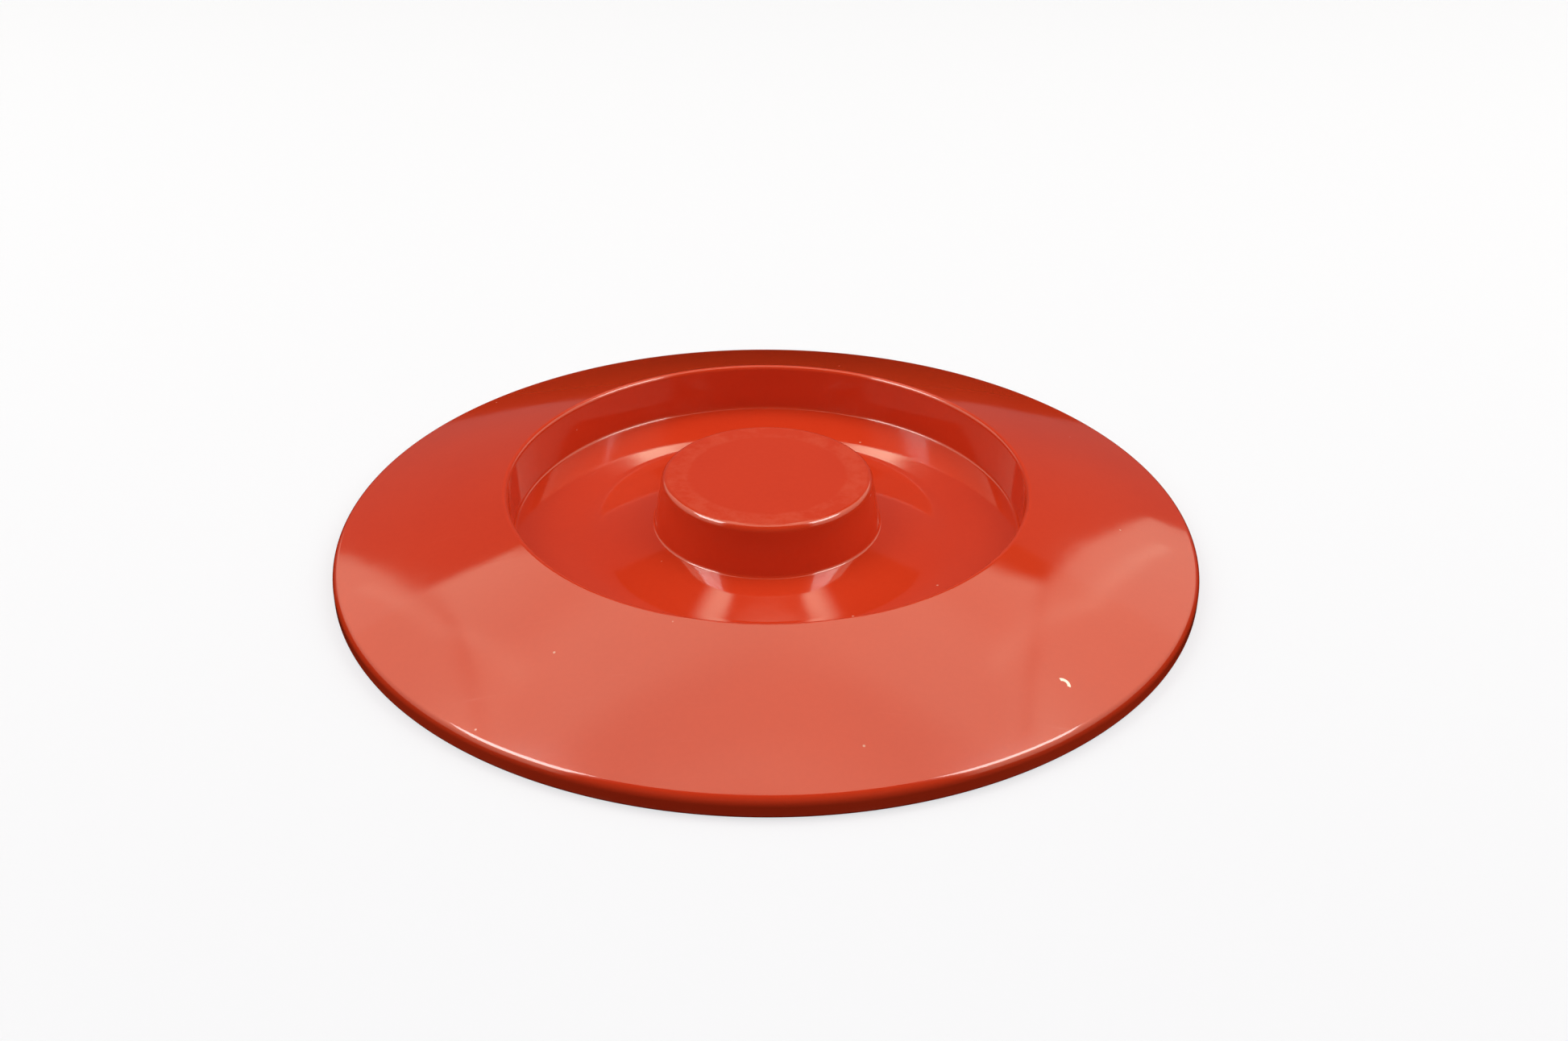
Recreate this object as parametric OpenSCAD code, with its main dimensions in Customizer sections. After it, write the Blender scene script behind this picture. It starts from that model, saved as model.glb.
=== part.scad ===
// Round serving-dish lid, moulded in one piece: a sloping brim, a well sunk in its middle and
// a drum-shaped knob that stands in the well. The underside is hollow and follows the top.
// Millimetres, +Z up. The origin is on the lid's axis, in the plane that its rim stands on.

/* [Lid] */
// Outside diameter of the rim
lid_d = 200; // [190:1:216]
// Thickness of the moulding
wall = 3; // [2.4:0.1:3.2]

/* [Rim] */
// Height at which the brim's slope would meet the rim's outer face
rim_h = 4.2; // [4:0.1:5.2]
// Width of the foot under the rim
foot_w = 3.6; // [3:0.1:5]
// Radius of the rim's upper edge
rim_round = 2; // [1:0.1:2.4]
// Radius of the rim's lower outer edge
foot_round = 0.8; // [0.4:0.1:1.2]

/* [Brim] */
// Height at which the brim's slope would meet the wall of the well
crest_h = 18.3; // [17:0.1:20]
// Radius of the crest between the brim and the well
crest_round = 1; // [0.6:0.1:1.6]
// How far the brim's middle stands above a straight slope
brim_bulge = 0.2; // [0.1:0.1:0.6]

/* [Well] */
// Diameter of the well at its crest
well_d = 119.4; // [114:0.2:126]
// Lean of the well's wall from upright, in degrees
well_draft = 4.1; // [1:0.1:8]
// Height of the floor where it meets the wall
floor_outer_h = 6.5; // [6:0.1:7.5]
// Height of the floor where it meets the knob
floor_inner_h = 7.4; // [6.5:0.1:8.5]
// Height at which the floor's two slopes would meet in the bottom of the trough
trough_h = 4.1; // [3.8:0.1:4.6]
// Diameter of the circle along the bottom of the trough
trough_d = 84.4; // [82:0.2:86]
// Radius of the bend along the bottom of the trough
trough_round = 14; // [8:1:20]
// Radius of the fillets at the foot of the wall and of the knob
fillet = 0.8; // [0.5:0.1:1.2]

/* [Knob] */
// Diameter of the knob at its top
knob_d = 48.7; // [44:0.1:52]
// Height of the knob's top
knob_h = 19.2; // [18:0.1:22]
// Lean of the knob's side from upright, in degrees
knob_draft = 9.6; // [4:0.1:12]
// Radius of the knob's upper edge
knob_round = 1.7; // [1:0.1:3]

/* [Hidden] */
$fn = 240;

rim_r = lid_d / 2;
inner_rim_r = rim_r - foot_w;
crest_r = well_d / 2;
trough_r = trough_d / 2;
knob_r = knob_d / 2;
wall_foot_r = crest_r - (crest_h - floor_outer_h) * tan(well_draft);
knob_foot_r = knob_r + (knob_h - floor_inner_h) * tan(knob_draft);

// Radius underneath a raised corner, where the wall can't keep its thickness round the bend
inside_round = 1;
// Radius of the rim's lower inner edge, and of the corner between the rim and the underside
foot_inner_round = 0.4;
// A corner with this rounding has an arc that takes up a fixed share of its shorter side
LONG = -1;
arc_share = 0.75;
// The steps of an arc turn and reach no more than this
step_angle = 7.5;
step_length = 2;

// A corner is [radius from the axis, height, rounding]. The first two are its place.
function place(corner) = [corner[0], corner[1]];
function unit(v) = v / norm(v);
function left_of(v) = [-v[1], v[0]];
function heading(v) = atan2(v[1], v[0]);
function cross_z(u, v) = u[0] * v[1] - u[1] * v[0];

// Where the line through p along u crosses the line through q along v
function crossing(p, u, q, v) = p + u * cross_z(q - p, v) / cross_z(u, v);

// Half of the angle between the two sides of corner b, which lead to a and c
function half_angle(a, b, c) = acos(unit(a - b) * unit(c - b)) / 2;
function long_round(a, b, c) =
    arc_share * min(norm(a - b), norm(c - b)) * tan(half_angle(a, b, c));
function arc_centre(a, b, c, r) =
    b + unit(unit(a - b) + unit(c - b)) * r / sin(half_angle(a, b, c));

// An angle brought between -180 and 180 degrees
function short_turn(angle) = angle - 360 * round(angle / 360);
function steps(turn, r) =
    max(1, ceil(abs(turn) / step_angle), ceil(abs(turn) * PI / 180 * r / step_length));

// The points of corner b between a and c, rounded to radius r
function arc_points(a, b, c, r) =
    let (
        side = r / tan(half_angle(a, b, c)),
        centre = arc_centre(a, b, c, r),
        start = heading(b + unit(a - b) * side - centre),
        turn = short_turn(heading(b + unit(c - b) * side - centre) - start),
        n = steps(turn, r)
    )
    [for (k = [0:n]) centre + r * [cos(start + turn * k / n), sin(start + turn * k / n)]];
function rounded_corner(a, b, c, rounding) =
    rounding == 0 ? [b] : arc_points(a, b, c, rounding == LONG ? long_round(a, b, c) : rounding);
function rounded_outline(corners) =
    let (n = len(corners))
    [for (k = [0:n - 1])
        for (p = rounded_corner(place(corners[(k + n - 1) % n]), place(corners[k]),
            place(corners[(k + 1) % n]), corners[k][2])) p];

// The top surface, from the rim in to the axis
TOP = [
    [rim_r, rim_h, rim_round],
    [(rim_r + crest_r) / 2, (rim_h + crest_h) / 2 + brim_bulge, LONG],
    [crest_r, crest_h, crest_round],
    [wall_foot_r, floor_outer_h, fillet],
    [trough_r, trough_h, trough_round],
    [knob_foot_r, floor_inner_h, fillet],
    [knob_r, knob_h, knob_round],
    [0, knob_h, 0]
];

// The underside runs one wall thickness below the top surface. Under a raised corner it turns
// on a smaller radius, and under a sunk one on a larger radius.
function along(i) = unit(place(TOP[i + 1]) - place(TOP[i]));
function below(i) = place(TOP[i]) + wall * left_of(along(i));
function under_place(i) = crossing(below(i - 1), along(i - 1), below(i), along(i));
function is_raised(i) = cross_z(along(i - 1), along(i)) > 0;
function under_round(i) =
    TOP[i][2] == LONG ? LONG :
    is_raised(i) ? max(TOP[i][2] - wall, inside_round) : TOP[i][2] + wall;
UNDERSIDE = [
    [0, knob_h - wall, 0],
    for (i = [len(TOP) - 2:-1:1]) concat(under_place(i), under_round(i)),
    concat(crossing(below(0), along(0), [inner_rim_r, 0], [0, 1]), foot_inner_round)
];

// The rim's flat foot, from its inner edge to its outer edge
FOOT = [
    [inner_rim_r, 0, foot_inner_round],
    [rim_r, 0, foot_round]
];

module lid() {
    color([0.80, 0.22, 0.12])
    rotate_extrude()
    polygon(rounded_outline(concat(TOP, UNDERSIDE, FOOT)));
}

lid();
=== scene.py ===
"""Round serving-dish lid of moulded melamine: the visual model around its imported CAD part.

Metres, +Z up. The origin is on the lid's axis, in the plane that its rim stands on.
"""

import math

import bpy
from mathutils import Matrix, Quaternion, Vector


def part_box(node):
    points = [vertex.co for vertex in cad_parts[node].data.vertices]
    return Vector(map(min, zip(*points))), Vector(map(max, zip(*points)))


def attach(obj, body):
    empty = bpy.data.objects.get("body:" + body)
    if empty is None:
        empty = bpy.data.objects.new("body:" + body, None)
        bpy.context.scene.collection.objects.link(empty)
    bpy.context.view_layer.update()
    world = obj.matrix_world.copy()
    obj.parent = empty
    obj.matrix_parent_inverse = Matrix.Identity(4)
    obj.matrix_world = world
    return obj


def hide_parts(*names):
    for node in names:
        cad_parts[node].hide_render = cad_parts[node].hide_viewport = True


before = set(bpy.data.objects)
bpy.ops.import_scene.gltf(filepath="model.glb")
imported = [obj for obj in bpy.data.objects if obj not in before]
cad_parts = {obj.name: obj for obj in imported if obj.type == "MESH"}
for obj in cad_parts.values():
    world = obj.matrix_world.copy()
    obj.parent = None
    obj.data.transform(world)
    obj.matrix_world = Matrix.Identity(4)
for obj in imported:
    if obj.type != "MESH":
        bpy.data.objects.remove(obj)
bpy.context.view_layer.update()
scene = bpy.context.scene

NODE = "lid"
low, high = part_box(NODE)
AXIS = Vector(((low.x + high.x) / 2, (low.y + high.y) / 2, low.z))
RIM_R = (high.x - low.x) / 2
TOP_Z = high.z - low.z
MM = 0.001

# ------------------------------------------------------------------ the lid's section
# The same driving sizes as the CAD part, in millimetres, with finer arcs.
WALL = 3.0
FOOT_W = 3.6
RIM_H, RIM_ROUND, FOOT_ROUND = 4.2, 2.0, 0.8
CREST_R, CREST_H, CREST_ROUND = 59.7, 18.3, 1.0
BRIM_BULGE = 0.2
WELL_DRAFT = 4.1
FLOOR_OUTER_H, FLOOR_INNER_H = 6.5, 7.4
TROUGH_R, TROUGH_H, TROUGH_ROUND = 42.2, 4.1, 14.0
FILLET = 0.8
KNOB_R, KNOB_DRAFT, KNOB_ROUND = 24.35, 9.6, 1.7
INSIDE_ROUND, FOOT_INNER_ROUND = 1.0, 0.4
LONG = -1
ARC_SHARE = 0.75

STEP_ANGLE = math.radians(4)
STEP_LENGTH = 1.6
RUN_STEP = 2.4
SUPPORT = 0.1
ON_AXIS = 1e-6
SEGMENTS = 360


def point(x, y):
    return Vector((x, y))


def cross_z(u, v):
    return u.x * v.y - u.y * v.x


def crossing(p, u, q, v):
    """Where the line through p along u crosses the line through q along v."""
    return p + u * (cross_z(q - p, v) / cross_z(u, v))


def left_of(v):
    return point(-v.y, v.x)


def half_angle(a, b, c):
    """Half of the angle between the two sides of corner b, which lead to a and c."""
    u, v = (a - b).normalized(), (c - b).normalized()
    return math.acos(max(-1.0, min(1.0, u.dot(v)))) / 2


def arc_points(a, b, c, radius):
    """The points of corner b between a and c, rounded to a radius."""
    half = half_angle(a, b, c)
    u, v = (a - b).normalized(), (c - b).normalized()
    side = radius / math.tan(half)
    centre = b + (u + v).normalized() * (radius / math.sin(half))
    start, end = b + u * side - centre, b + v * side - centre
    first = math.atan2(start.y, start.x)
    turn = math.remainder(math.atan2(end.y, end.x) - first, math.tau)
    steps = max(1, math.ceil(abs(turn) / STEP_ANGLE), math.ceil(abs(turn) * radius / STEP_LENGTH))
    return [
        centre + radius * point(math.cos(first + turn * k / steps), math.sin(first + turn * k / steps))
        for k in range(steps + 1)
    ]


def rounded_corner(a, b, c, rounding):
    if rounding == 0:
        return [b]
    if rounding == LONG:
        rounding = ARC_SHARE * min((a - b).length, (c - b).length) * math.tan(half_angle(a, b, c))
    return arc_points(a, b, c, rounding)


def section():
    """The lid's section as corners (place, rounding), from the rim's upper edge round to its foot."""
    rim_r = RIM_R / MM
    knob_h = TOP_Z / MM
    inner_rim_r = rim_r - FOOT_W
    wall_foot_r = CREST_R - (CREST_H - FLOOR_OUTER_H) * math.tan(math.radians(WELL_DRAFT))
    knob_foot_r = KNOB_R + (knob_h - FLOOR_INNER_H) * math.tan(math.radians(KNOB_DRAFT))
    top = [
        (point(rim_r, RIM_H), RIM_ROUND),
        (point((rim_r + CREST_R) / 2, (RIM_H + CREST_H) / 2 + BRIM_BULGE), LONG),
        (point(CREST_R, CREST_H), CREST_ROUND),
        (point(wall_foot_r, FLOOR_OUTER_H), FILLET),
        (point(TROUGH_R, TROUGH_H), TROUGH_ROUND),
        (point(knob_foot_r, FLOOR_INNER_H), FILLET),
        (point(KNOB_R, knob_h), KNOB_ROUND),
        (point(0, knob_h), 0),
    ]

    def along(i):
        return (top[i + 1][0] - top[i][0]).normalized()

    def below(i):
        return top[i][0] + WALL * left_of(along(i))

    under = [(point(0, knob_h - WALL), 0)]
    for i in range(len(top) - 2, 0, -1):
        place = crossing(below(i - 1), along(i - 1), below(i), along(i))
        rounding = top[i][1]
        if rounding != LONG:
            raised = cross_z(along(i - 1), along(i)) > 0
            rounding = max(rounding - WALL, INSIDE_ROUND) if raised else rounding + WALL
        under.append((place, rounding))
    inner = crossing(below(0), along(0), point(inner_rim_r, 0), point(0, 1))
    under.append((inner, FOOT_INNER_ROUND))
    foot = [(point(inner_rim_r, 0), FOOT_INNER_ROUND), (point(rim_r, 0), FOOT_ROUND)]
    return top + under + foot


def fill_run(p, q):
    """Points between p and q: even steps, and one close to each end, so that shading turns on the arcs."""
    length = (q - p).length
    way = (q - p).normalized()
    if length < 4 * SUPPORT:
        return []
    run = length - 2 * SUPPORT
    count = max(1, math.ceil(run / RUN_STEP))
    return [p + way * (SUPPORT + run * k / count) for k in range(count + 1)]


def lathe_outline():
    corners = section()
    n = len(corners)
    outline = []
    arcs = [
        rounded_corner(corners[k - 1][0], corners[k][0], corners[(k + 1) % n][0], corners[k][1])
        for k in range(n)
    ]
    for k, arc in enumerate(arcs):
        outline += arc
        following = arcs[(k + 1) % n][0]
        if not (arc[-1].x < ON_AXIS and following.x < ON_AXIS):
            outline += fill_run(arc[-1], following)
    return outline


def lathe(name, outline):
    """A closed mesh: the outline, from one point on the axis to another, turned once round it."""
    start = max(range(len(outline)), key=lambda i: (outline[i].x < ON_AXIS, outline[i].y))
    outline = outline[start:] + outline[:start]
    if outline[1].x < ON_AXIS:
        outline = [outline[0]] + outline[:0:-1]
    rings = outline[1:-1]
    verts = [AXIS + Vector((0, 0, outline[0].y)) * MM]
    for p in rings:
        for s in range(SEGMENTS):
            a = math.tau * s / SEGMENTS
            verts.append(AXIS + Vector((p.x * math.cos(a), p.x * math.sin(a), p.y)) * MM)
    verts.append(AXIS + Vector((0, 0, outline[-1].y)) * MM)
    faces = []
    last = len(verts) - 1
    for s in range(SEGMENTS):
        t = (s + 1) % SEGMENTS
        faces.append((0, 1 + s, 1 + t))
        for k in range(len(rings) - 1):
            i, j = 1 + k * SEGMENTS, 1 + (k + 1) * SEGMENTS
            faces.append((i + s, j + s, j + t, i + t))
        i = 1 + (len(rings) - 1) * SEGMENTS
        faces.append((last, i + t, i + s))
    mesh = bpy.data.meshes.new(name)
    mesh.from_pydata(verts, [], faces)
    mesh.validate()
    mesh.shade_smooth()
    return mesh


# ------------------------------------------------------------------ node helpers
def plug(tree, socket, value):
    """Links value to the socket where it is another node's socket, and sets it otherwise."""
    if isinstance(value, bpy.types.NodeSocket):
        tree.links.new(value, socket)
    else:
        socket.default_value = value


def math_node(tree, operation, *values, clamp=False):
    made = tree.nodes.new("ShaderNodeMath")
    made.operation = operation
    made.use_clamp = clamp
    for socket, value in zip(made.inputs, values):
        plug(tree, socket, value)
    return made.outputs[0]


def add(tree, a, b, clamp=False):
    return math_node(tree, "ADD", a, b, clamp=clamp)


def times(tree, a, b):
    return math_node(tree, "MULTIPLY", a, b)


def ramp(tree, value, lo, hi, out_lo, out_hi, kind="LINEAR"):
    made = tree.nodes.new("ShaderNodeMapRange")
    made.interpolation_type = kind
    plug(tree, made.inputs["Value"], value)
    for name, number in (("From Min", lo), ("From Max", hi), ("To Min", out_lo), ("To Max", out_hi)):
        made.inputs[name].default_value = number
    return made.outputs["Result"]


def smooth(tree, value, lo, hi, out_lo, out_hi):
    return ramp(tree, value, lo, hi, out_lo, out_hi, "SMOOTHSTEP")


def band(tree, value, lo, hi, soft):
    """1 where value lies between lo and hi, falling to 0 over soft on each side."""
    return times(tree, smooth(tree, value, lo - soft, lo, 0, 1), smooth(tree, value, hi, hi + soft, 1, 0))


def vector_math(tree, operation, place, *values):
    """A vector operation on place and on values with an x and a y."""
    made = tree.nodes.new("ShaderNodeVectorMath")
    made.operation = operation
    tree.links.new(place, made.inputs[0])
    for socket, value in zip(made.inputs[1:], values):
        socket.default_value = (value[0], value[1], 0)
    return made


def length_of(tree, place):
    return vector_math(tree, "LENGTH", place).outputs["Value"]


def side_of(tree, place, start, end, fade):
    """0 to the right of the line from start to end and 1 to its left, changing over fade."""
    across = left_of((Vector(end) - Vector(start)).normalized())
    offset = across.dot(Vector(start))
    along = vector_math(tree, "DOT_PRODUCT", place, across).outputs["Value"]
    return smooth(tree, along, offset - fade / 2, offset + fade / 2, 0, 1)


def noise(tree, vector, scale, detail=2.0, roughness=0.5, distortion=0.0):
    made = tree.nodes.new("ShaderNodeTexNoise")
    tree.links.new(vector, made.inputs["Vector"])
    made.inputs["Scale"].default_value = scale
    made.inputs["Detail"].default_value = detail
    made.inputs["Roughness"].default_value = roughness
    made.inputs["Distortion"].default_value = distortion
    return made.outputs["Fac"]


def mix_colour(tree, share, a, b):
    made = tree.nodes.new("ShaderNodeMix")
    made.data_type = "RGBA"
    for socket, value in ((made.inputs[0], share), (made.inputs[6], a), (made.inputs[7], b)):
        plug(tree, socket, value)
    return made.outputs[2]


# ------------------------------------------------------------------ melamine
BASE_RED = (0.575, 0.0370, 0.0125, 1)
WARM_RED = (0.615, 0.0425, 0.0140, 1)
# A lighter red for wear and scratches, and on the knob's top also a painted reflection.
WORN_AND_SHEEN_RED = (0.66, 0.0900, 0.0500, 1)
DUST = (0.80, 0.55, 0.48, 1)
CHIP = (0.95, 0.86, 0.80, 1)
IOR = 1.5
GLOSS_ROUGH, DULL_ROUGH = 0.055, 0.085

# Noise scales, in features a metre.
MOTTLE, GRAIN, PATCH, HAZE, RIPPLE, PEEL = 22, 900, 180, 60, 38, 420

# A lighter ring on the knob's top: partly wear, partly a painted reflection of the bright room on its edge.
KNOB_WEAR_SHEEN_FROM, KNOB_WEAR_SHEEN_TO, KNOB_WEAR_SHEEN_FADE = 0.0189, 0.0228, 0.0012
KNOB_TOP_DEPTH = 0.0012
FOOT_WEAR_H = 0.0016
KNOB_WEAR_SHEEN_SHARE, FOOT_WEAR_SHARE = 0.35, 0.6

SCRATCH_TURNS = (0.35, 1.5, 2.5)
SCRATCH_STRETCH, SCRATCH_SCALE = 34, 55
SCRATCH_TINT, SCRATCH_ROUGH, SCRATCH_DEPTH = 0.05, 0.05, 0.01

DUST_SCALE, DUST_CHOSEN, DUST_TINT = 210, 0.93, 0.5
DULLED = 0.3
PEEL_SHARE = 0.03
BUMP_STRENGTH, BUMP_DISTANCE = 0.12, 0.0006

# The chip is an arc round CHIP_CENTRE, from the direction CHIP_FROM to CHIP_TO.
CHIP_CENTRE = (0.0601, -0.0670)
CHIP_BEND = 0.0012
CHIP_FROM, CHIP_TO = (0.0012, -0.0003), (-0.0005, 0.0011)
CHIP_WIDTH, CHIP_SOFT, CHIP_END = 0.0003, 0.0001, 0.0002


def mottled_red(tree, place):
    broad = ramp(tree, noise(tree, place, MOTTLE, 3, 0.55), 0.35, 0.65, 0, 0.7)
    fine = ramp(tree, noise(tree, place, GRAIN, 2, 0.6), 0.3, 0.7, 0, 0.3)
    return mix_colour(tree, add(tree, broad, fine), BASE_RED, WARM_RED)


def wear_and_sheen_mask(tree, place):
    """Rubbed places and painted sheen: a ring on the knob's top, lighter partly from wear and partly as a
    painted reflection of the bright room on its edge, and the foot that slides on the table.
    """
    parts = tree.nodes.new("ShaderNodeSeparateXYZ")
    tree.links.new(place, parts.inputs[0])
    x, y, z = (parts.outputs[k] for k in range(3))
    radius = math_node(tree, "SQRT", add(tree, times(tree, x, x), times(tree, y, y)))
    patchy = ramp(tree, noise(tree, place, PATCH, 5, 0.7), 0.42, 0.62, 0, 1)
    ring = band(tree, radius, KNOB_WEAR_SHEEN_FROM, KNOB_WEAR_SHEEN_TO, KNOB_WEAR_SHEEN_FADE)
    on_top = math_node(tree, "GREATER_THAN", z, TOP_Z - KNOB_TOP_DEPTH)
    on_knob = times(tree, times(tree, ring, on_top), patchy)
    at_foot = times(tree, ramp(tree, z, 0, FOOT_WEAR_H, 1, 0), patchy)
    knob_share = times(tree, on_knob, KNOB_WEAR_SHEEN_SHARE)
    return add(tree, knob_share, times(tree, at_foot, FOOT_WEAR_SHARE), clamp=True)


def scratch_mask(tree, place):
    """Fine scratches, in three directions."""
    scratches = None
    for turn in SCRATCH_TURNS:
        turned = tree.nodes.new("ShaderNodeMapping")
        tree.links.new(place, turned.inputs["Vector"])
        turned.inputs["Rotation"].default_value = (0, 0, turn)
        turned.inputs["Scale"].default_value = (1, SCRATCH_STRETCH, 1)
        streaks = noise(tree, turned.outputs["Vector"], SCRATCH_SCALE, 2, 0.5, 0.4)
        lines = ramp(tree, streaks, 0.70, 0.76, 0, 1)
        scratches = lines if scratches is None else math_node(tree, "MAXIMUM", scratches, lines)
    return scratches


def dust_mask(tree, place):
    cells = tree.nodes.new("ShaderNodeTexVoronoi")
    tree.links.new(place, cells.inputs["Vector"])
    cells.inputs["Scale"].default_value = DUST_SCALE
    near = ramp(tree, cells.outputs["Distance"], 0.035, 0.075, 1, 0)
    chosen = tree.nodes.new("ShaderNodeSeparateColor")
    tree.links.new(cells.outputs["Color"], chosen.inputs[0])
    return times(tree, near, math_node(tree, "GREATER_THAN", chosen.outputs[0], DUST_CHOSEN))


def chip_mask(tree, place):
    """The pale curved chip on the brim."""
    from_chip = vector_math(tree, "SUBTRACT", place, CHIP_CENTRE).outputs["Vector"]
    flat = vector_math(tree, "MULTIPLY", from_chip, (1, 1)).outputs["Vector"]
    reach = length_of(tree, flat)
    stroke = band(tree, reach, CHIP_BEND - CHIP_WIDTH, CHIP_BEND + CHIP_WIDTH, CHIP_SOFT)
    begun = side_of(tree, flat, (0, 0), CHIP_FROM, CHIP_END)
    ended = side_of(tree, flat, CHIP_TO, (0, 0), CHIP_END)
    return times(tree, times(tree, stroke, begun), ended)


def melamine():
    mat = bpy.data.materials.new("red_melamine")
    mat.use_nodes = True
    tree = mat.node_tree
    shader = tree.nodes["Principled BSDF"]
    place = tree.nodes.new("ShaderNodeTexCoord").outputs["Object"]
    wear_and_sheen = wear_and_sheen_mask(tree, place)
    scratches = scratch_mask(tree, place)
    dust = dust_mask(tree, place)
    chip = chip_mask(tree, place)

    colour = mottled_red(tree, place)
    # Lighter red where rubbed, and on the knob's top partly a painted reflection.
    colour = mix_colour(tree, wear_and_sheen, colour, WORN_AND_SHEEN_RED)
    colour = mix_colour(tree, times(tree, scratches, SCRATCH_TINT), colour, WORN_AND_SHEEN_RED)
    colour = mix_colour(tree, times(tree, dust, DUST_TINT), colour, DUST)
    colour = mix_colour(tree, chip, colour, CHIP)
    tree.links.new(colour, shader.inputs["Base Color"])

    rough = ramp(tree, noise(tree, place, HAZE, 4, 0.6), 0.3, 0.7, GLOSS_ROUGH, DULL_ROUGH)
    for mask, amount in ((scratches, SCRATCH_ROUGH), (wear_and_sheen, DULLED), (dust, DULLED), (chip, DULLED)):
        rough = add(tree, rough, times(tree, mask, amount))
    tree.links.new(rough, shader.inputs["Roughness"])
    shader.inputs["IOR"].default_value = IOR

    peel = times(tree, noise(tree, place, PEEL), PEEL_SHARE)
    ripple = add(tree, noise(tree, place, RIPPLE), peel)
    relief = math_node(tree, "SUBTRACT", ripple, times(tree, scratches, SCRATCH_DEPTH))
    bump = tree.nodes.new("ShaderNodeBump")
    bump.inputs["Strength"].default_value = BUMP_STRENGTH
    bump.inputs["Distance"].default_value = BUMP_DISTANCE
    tree.links.new(relief, bump.inputs["Height"])
    tree.links.new(bump.outputs["Normal"], shader.inputs["Normal"])
    return mat


lid_mesh = lathe("serving_lid", lathe_outline())
lid = bpy.data.objects.new("serving_lid", lid_mesh)
scene.collection.objects.link(lid)
lid_mesh.materials.append(melamine())
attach(lid, "root")
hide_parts(NODE)

# ------------------------------------------------------------------ floor and backdrop
FLOOR_SIZE = 60.0
FLOOR_GREY = (0.28, 0.28, 0.36, 1)
# The floor glows of itself, more from FLOOR_NEAR out to FLOOR_FAR, so that it stays pale beyond the lights.
FLOOR_NEAR, FLOOR_FAR = 0.8, 4.0
FLOOR_GLOW_NEAR, FLOOR_GLOW_FAR = 0.64, 0.95
BACKDROP = (0.95, 0.95, 0.95, 1)


def floor_paper():
    mat = bpy.data.materials.new("floor")
    mat.use_nodes = True
    tree = mat.node_tree
    shader = tree.nodes["Principled BSDF"]
    shader.inputs["Base Color"].default_value = FLOOR_GREY
    shader.inputs["Roughness"].default_value = 1
    shader.inputs["Specular IOR Level"].default_value = 0
    shader.inputs["Emission Color"].default_value = (1, 1, 1, 1)
    reach = length_of(tree, tree.nodes.new("ShaderNodeTexCoord").outputs["Object"])
    glow = ramp(tree, reach, FLOOR_NEAR, FLOOR_FAR, FLOOR_GLOW_NEAR, FLOOR_GLOW_FAR)
    tree.links.new(glow, shader.inputs["Emission Strength"])
    mat.cycles.emission_sampling = "NONE"
    return mat


half = FLOOR_SIZE / 2
floor_corners = [(-half, -half, 0), (half, -half, 0), (half, half, 0), (-half, half, 0)]
floor_mesh = bpy.data.meshes.new("floor")
floor_mesh.from_pydata(floor_corners, [], [(0, 1, 2, 3)])
floor_mesh.materials.append(floor_paper())
floor = bpy.data.objects.new("floor", floor_mesh)
scene.collection.objects.link(floor)
floor.visible_glossy = False
floor.visible_diffuse = False

world = bpy.data.worlds.new("world")
scene.world = world
world.use_nodes = True
world.node_tree.nodes["Background"].inputs["Color"].default_value = BACKDROP
world.node_tree.nodes["Background"].inputs["Strength"].default_value = 1
world.cycles_visibility.glossy = False
world.cycles_visibility.diffuse = False

# ------------------------------------------------------------------ studio lights
# A lit ceiling hangs over the lid. Places on it are shares of its height, sideways and back.
CEILING = 0.9
CEILING_LO, CEILING_HI = Vector((-4.0, -1.6)), Vector((4.0, 4.2))
LAMP_DROP = 0.02
WARM_WHITE = (1.0, 0.98, 0.74)
WHITE = (1.0, 1.0, 1.0)


def area_light(name, width, depth, radiance, colour):
    light = bpy.data.lights.new(name, "AREA")
    light.shape = "RECTANGLE"
    light.size, light.size_y = width, depth
    light.energy = radiance * math.pi * width * depth
    light.color = colour
    hung = bpy.data.objects.new(name, light)
    scene.collection.objects.link(hung)
    return hung


def patch(radiance, edges, centre=(0, 0), reach=0):
    """A patch of light to the left of each edge (start, end, fade).

    With a reach, it fades by a factor e over each reach from its centre.
    """
    return radiance, edges, centre, reach


def stripe(start, end, width, fade, radiance):
    """A thin straight patch from start to end."""
    start, end = Vector(start), Vector(end)
    across = left_of((end - start).normalized())
    side = across * width / 2
    return patch(radiance, (
        (start - side, end - side, fade),
        (end + side, start + side, fade),
        (start + across, start, 4 * fade),
        (end, end + across, 4 * fade),
    ))


def patch_glow(tree, place, radiance, edges, centre, reach):
    glow = radiance
    if reach:
        far = length_of(tree, vector_math(tree, "SUBTRACT", place, centre).outputs["Vector"])
        glow = times(tree, math_node(tree, "EXPONENT", times(tree, far, -1 / reach)), radiance)
    for start, end, fade in edges:
        glow = times(tree, side_of(tree, place, start, end, fade), glow)
    return glow


def lit_ceiling(patches):
    size = CEILING_HI - CEILING_LO
    hung = area_light("ceiling", size.x * CEILING, size.y * CEILING, 1, WARM_WHITE)
    middle = (CEILING_LO + CEILING_HI) / 2
    hung.location = Vector((middle.x, middle.y, 1)) * CEILING
    hung.data.use_nodes = True
    tree = hung.data.node_tree
    parametric = tree.nodes.new("ShaderNodeNewGeometry").outputs["Parametric"]
    place = vector_math(tree, "MULTIPLY_ADD", parametric, size, CEILING_LO).outputs["Vector"]
    total = None
    for lit in patches:
        glow = patch_glow(tree, place, *lit)
        total = glow if total is None else add(tree, total, glow)
    tree.links.new(total, tree.nodes["Emission"].inputs["Strength"])


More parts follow.
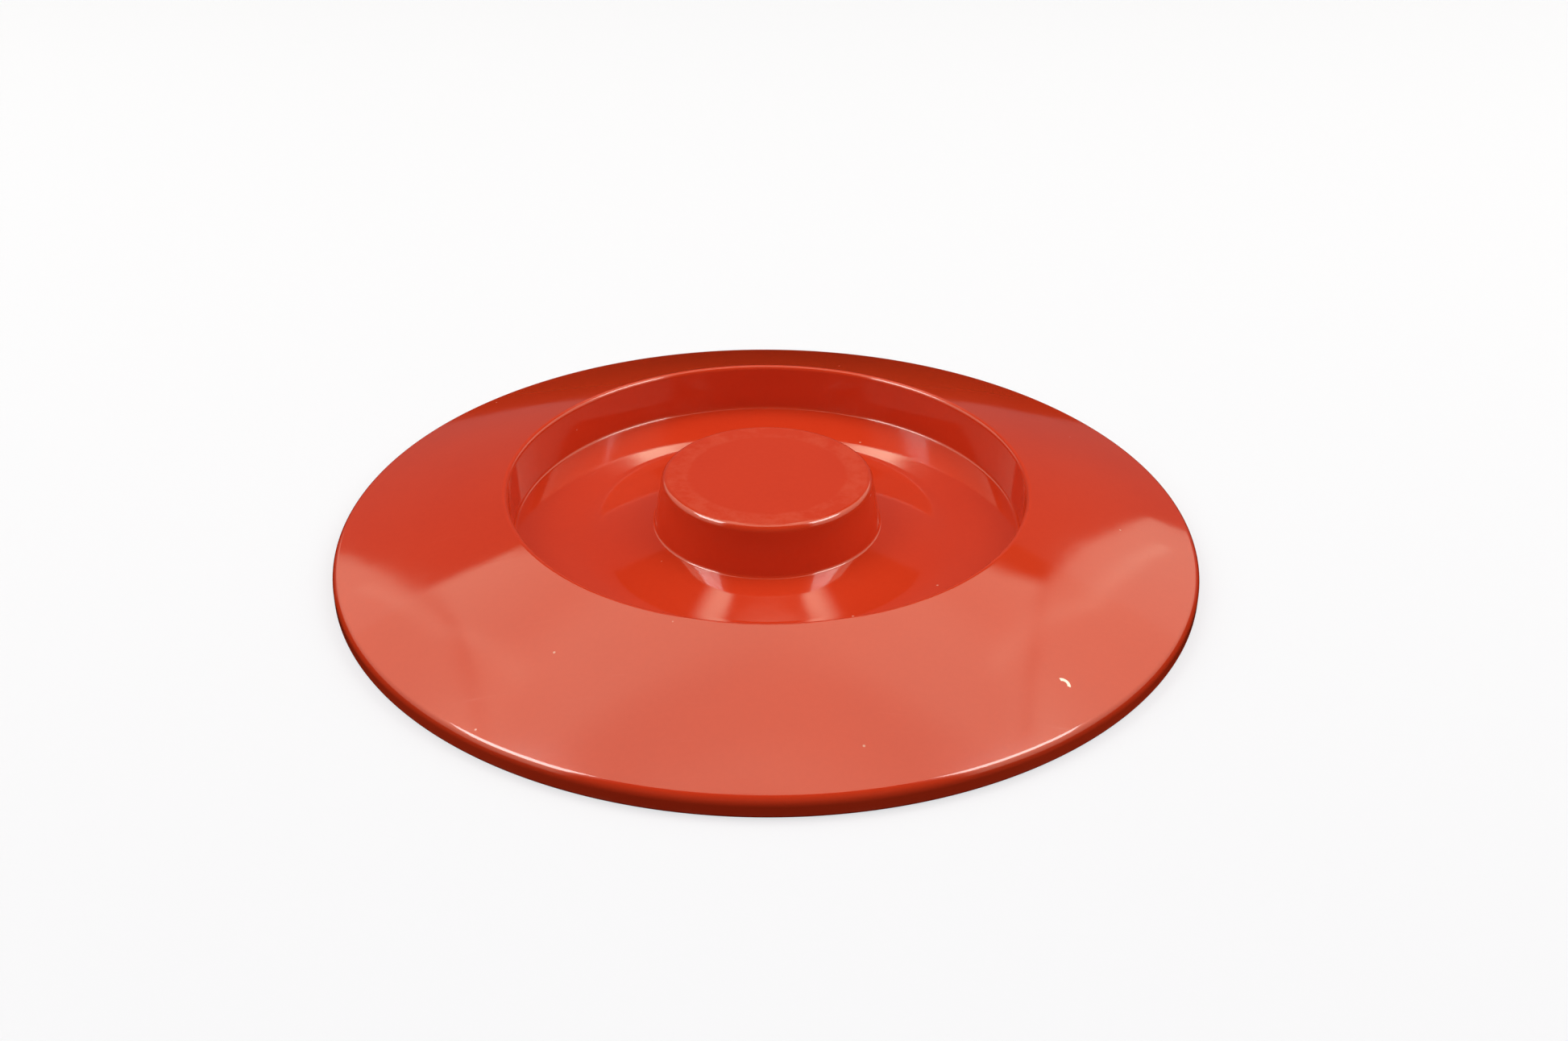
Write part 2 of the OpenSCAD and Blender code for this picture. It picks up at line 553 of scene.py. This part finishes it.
def lamp(name, centre, width, depth, turn, radiance):
    """A bright lamp just under the ceiling: its streaks are seen on the lid."""
    hung = area_light(name, width * CEILING, depth * CEILING, radiance, WHITE)
    hung.location = Vector((centre[0], centre[1], 1)) * (CEILING - LAMP_DROP)
    hung.rotation_euler = (0, 0, math.radians(turn))
    hung.visible_diffuse = False


def fill(name, location, width, height, radiance):
    """A soft panel, facing the lid, that lights it without being seen in it."""
    stand = area_light(name, width, height, radiance, WHITE)
    stand.location = location
    stand.rotation_mode = "QUATERNION"
    stand.rotation_quaternion = (-Vector(location)).to_track_quat("-Z", "Y")
    stand.visible_glossy = False
    return stand


def dim_wall(name, location, width, height, radiance):
    """The dim far side of the room, seen as a veil in the gloss."""
    wall = fill(name, location, width, height, radiance)
    wall.visible_glossy = True
    wall.visible_diffuse = False


MIDDLE_GLOW, BAND_GLOW, WING_GLOW, HALO_GLOW, STRIP_GLOW, SPOT_GLOW = 2.15, 0.5, 2.5, 3, 3.6, 6
SEAM_LEFT = ((-1.04, 1.17), (-0.445, 0.08))
SEAM_RIGHT = ((0.43, 0.08), (0.83, 0.935))
FRONT_LEFT = ((-0.90, -0.62), (-0.33, 0.03))
FRONT_RIGHT = ((0.33, 0.03), (0.90, -0.62))
SEAM = 0.03
EDGE = 0.04
BACK = 0.05

MIDDLE = (
    patch(MIDDLE_GLOW, (
        ((-0.33, 0.07), (0.33, 0.07), EDGE),
        (*SEAM_RIGHT, SEAM),
        ((0.60, 0.60), (-0.66, 0.60), EDGE),
        (*SEAM_LEFT, SEAM),
    )),
    # its back corners
    patch(MIDDLE_GLOW, (
        ((0.44, 0.60), (0.70, 0.60), EDGE),
        (*SEAM_RIGHT, SEAM),
        ((0.83, 0.935), (0.45, 0.60), BACK),
    )),
    patch(MIDDLE_GLOW, (
        ((-0.70, 0.60), (-0.44, 0.60), EDGE),
        ((-0.56, 0.70), (-0.84, 1.08), BACK),
        ((-0.84, 1.08), (-1.06, 1.175), BACK),
        (*SEAM_LEFT, SEAM),
    )),
    # brighter bands across it
    patch(BAND_GLOW, (
        ((-0.60, 0.24), (0.60, 0.24), 0.08),
        (*SEAM_RIGHT, 0.3),
        ((0.60, 0.50), (-0.60, 0.50), 0.20),
        (*SEAM_LEFT, 0.3),
    )),
    patch(BAND_GLOW, (
        ((-0.40, 0.07), (0.40, 0.07), EDGE),
        ((0.40, 0.13), (-0.40, 0.13), 0.08),
    ), reach=0.8),
)
WINGS = (
    patch(WING_GLOW, (
        (*SEAM_LEFT[::-1], SEAM),
        ((-1.04, 1.17), (-1.75, 2.47), BACK),
        (*FRONT_LEFT, 0.25),
    ), reach=3.6),
    patch(WING_GLOW, (
        (*SEAM_RIGHT[::-1], SEAM),
        ((1.80, 3.0), (0.83, 0.935), BACK),
        ((2.30, 3.36), (1.85, 3.36), 0.12),
        (*FRONT_RIGHT, 0.25),
    ), reach=4.2),
    # their lit folds
    stripe((-0.56, 0.42), (-0.87, 0.82), 0.02, 0.03, 0.55),
    stripe((-0.87, 0.82), (-1.35, 1.61), 0.02, 0.03, 0.45),
    stripe((0.53, 0.42), (0.93, 0.98), 0.02, 0.03, 0.65),
    stripe((0.93, 0.98), (1.67, 2.44), 0.03, 0.04, 0.65),
)
HALOS = (
    patch(HALO_GLOW, ((*SEAM_LEFT[::-1], 0.1), (*FRONT_LEFT, 0.1)), (-0.70, 0.05), 0.22),
    patch(HALO_GLOW, ((*SEAM_RIGHT[::-1], 0.1), (*FRONT_RIGHT, 0.1)), (0.66, 0.08), 0.20),
)
BACK_STRIPS = (
    patch(STRIP_GLOW, (
        ((-0.30, 0.62), (-0.10, 0.62), EDGE),
        ((-0.12, 0.62), (-0.05, 1.10), 0.03),
        ((-0.04, 1.10), (-0.12, 1.10), 0.10),
        ((-0.09, 1.10), (-0.20, 0.62), 0.08),
    )),
    patch(STRIP_GLOW, (
        ((0.10, 0.62), (0.30, 0.62), EDGE),
        ((0.20, 0.62), (0.09, 1.10), 0.08),
        ((0.12, 1.10), (0.04, 1.10), 0.10),
        ((0.05, 1.10), (0.12, 0.62), 0.03),
    )),
    stripe((-0.06, 1.165), (0.06, 1.165), 0.09, 0.03, SPOT_GLOW),
)
lit_ceiling(MIDDLE + WINGS + HALOS + BACK_STRIPS)
lamp("lamp_left", (-0.674, 0.058), 0.46, 0.50, 145, 12)
lamp("lamp_right", (0.645, 0.098), 0.46, 0.40, 37, 11)
dim_wall("wall_back", (0, 2.6, 0.9), 7.0, 2.2, 0.14)
fill("fill_high", (0, -1.2, 1.0), 1.6, 0.8, 1.4)
fill("fill_low", (0, -1.6, 0.5), 2.4, 0.8, 0.2)

# ------------------------------------------------------------------ camera
LENS = 41.62
SENSOR = 36.0
CAMERA = Vector((0, -0.3666, 0.2219))
AIM = Vector((0.00398, 0.00293, 0.00501))
CAMERA_ROLL = math.radians(0.513)
camera_data = bpy.data.cameras.new("camera")
camera_data.lens = LENS
camera_data.sensor_width = SENSOR
camera = bpy.data.objects.new("camera", camera_data)
scene.collection.objects.link(camera)
camera.location = CAMERA
camera.rotation_mode = "QUATERNION"
camera.rotation_quaternion = (AIM - CAMERA).to_track_quat("-Z", "Y") @ Quaternion((0, 0, 1), CAMERA_ROLL)
scene.camera = camera
scene.view_settings.view_transform = "Standard"
